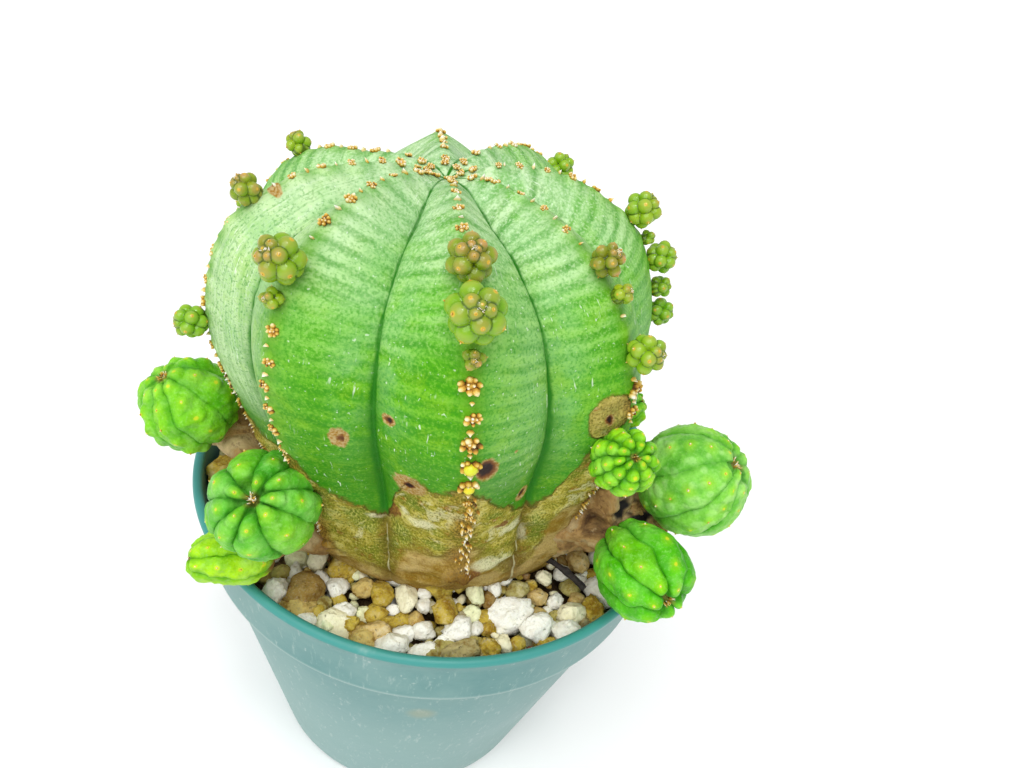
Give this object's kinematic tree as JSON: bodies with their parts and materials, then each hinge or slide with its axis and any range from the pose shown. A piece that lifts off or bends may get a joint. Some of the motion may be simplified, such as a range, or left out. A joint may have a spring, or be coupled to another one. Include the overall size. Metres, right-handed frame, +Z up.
{
  "type": "potted baseball plant",
  "caption": "Round ribbed succulent with offsets on its base and rows of young shoots down its ribs, set in pumice gravel in a tapered round nursery pot.",
  "frame": {"origin": "centre of the pot's flat underside", "axes": "+Z up along the pot's axis; -Y is the front, where the plant leans; +X is to the right seen from the front"},
  "size_m": [0.0993, 0.09, 0.1349],
  "materials": {
    "pot": "thin moulded plastic, satin, dusty",
    "gravel": "dry pumice, akadama and grit, matt",
    "stem": "waxy succulent skin with cross bands, corky tan base",
    "offset": "waxy bright green succulent skin",
    "shoot": "waxy green to reddish brown young growth"
  },
  "bodies": {
    "root": {"pot": "pot", "gravel": "gravel", "stem": "stem", "offset_left_high": "offset", "offset_left_front": "offset", "offset_left_low": "offset", "offset_right_high": "offset", "offset_right_front": "offset", "offset_right_low": "offset", "offset_right_rear": "offset", "offset_rear": "offset", "shoot_rib1_1": "shoot", "shoot_rib1_2": "shoot", "shoot_rib1_3": "shoot", "shoot_rib2_1": "shoot", "shoot_rib2_2": "shoot", "shoot_rib2_3": "shoot", "shoot_rib3_1": "shoot", "shoot_rib3_2": "shoot", "shoot_rib3_3": "shoot", "shoot_rib3_4": "shoot", "shoot_rib3_5": "shoot", "shoot_rib4_1": "shoot", "shoot_rib4_2": "shoot", "shoot_rib5_1": "shoot", "shoot_rib5_2": "shoot", "shoot_rib5_3": "shoot", "shoot_rib6_1": "shoot", "shoot_rib6_2": "shoot", "shoot_rib7_1": "shoot", "shoot_rib7_2": "shoot", "shoot_rib8_1": "shoot", "shoot_rib8_2": "shoot"}
  },
  "joints": []
}
